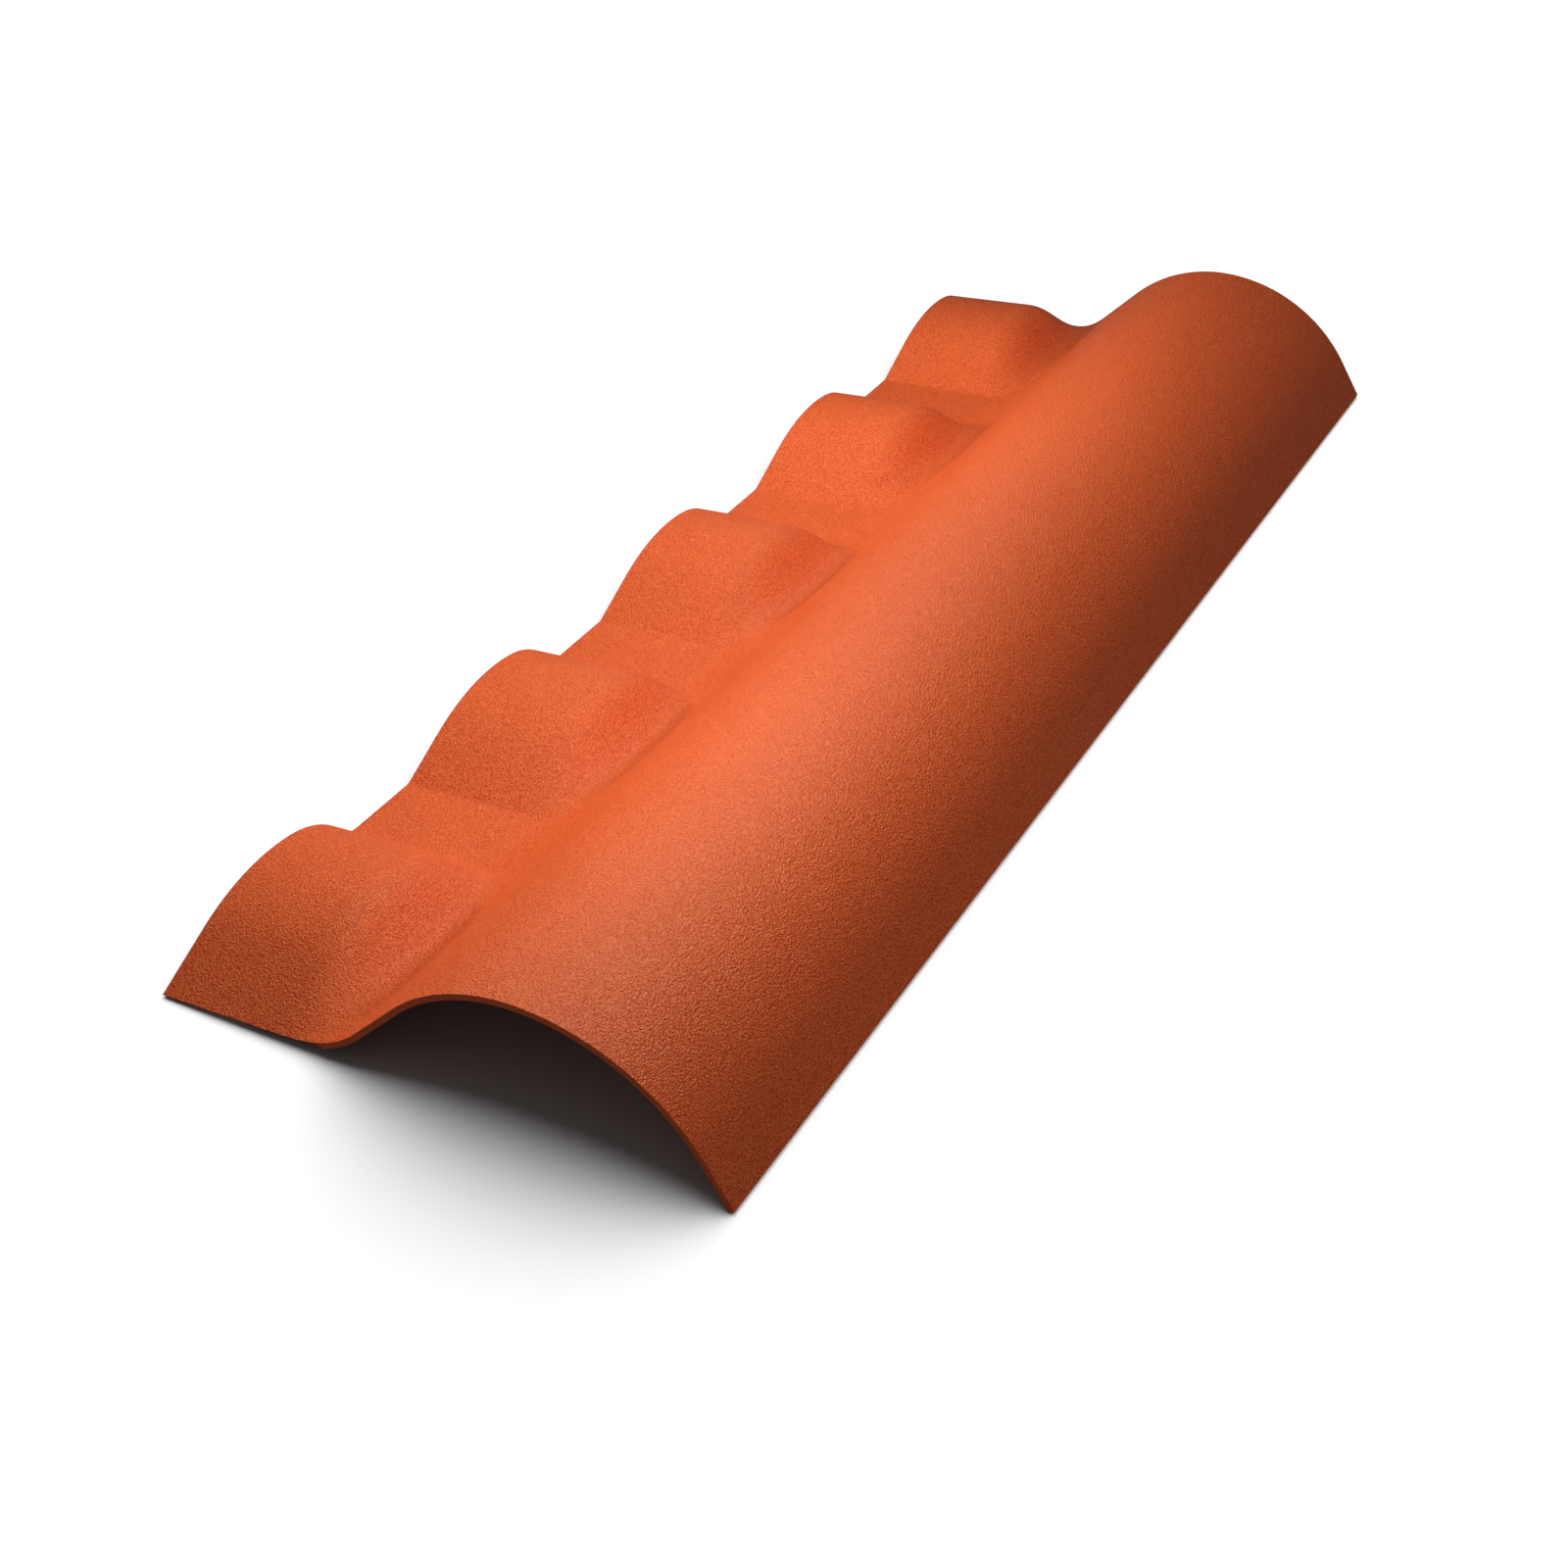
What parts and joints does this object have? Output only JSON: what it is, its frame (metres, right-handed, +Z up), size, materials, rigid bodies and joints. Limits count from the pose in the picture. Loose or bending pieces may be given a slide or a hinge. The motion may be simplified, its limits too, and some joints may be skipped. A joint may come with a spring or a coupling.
{
  "type": "ridge cap",
  "caption": "Plastic ridge cap for a wave-profile roof: a half-round barrel with a waved flange along one side, pressed from one sheet",
  "frame": {"origin": "middle of the footprint, on the surface that the cap lies on", "axes": "+X across the ridge towards the plain side of the barrel, +Y along the ridge towards the end that is cut through a wave, +Z up"},
  "size_m": [0.2524, 0.7546, 0.0602],
  "materials": {
    "coloured_plastic": "satin terracotta orange with a fine leather-like embossed grain"
  },
  "bodies": {
    "root": {"ridge_cap": "coloured_plastic"}
  },
  "joints": []
}
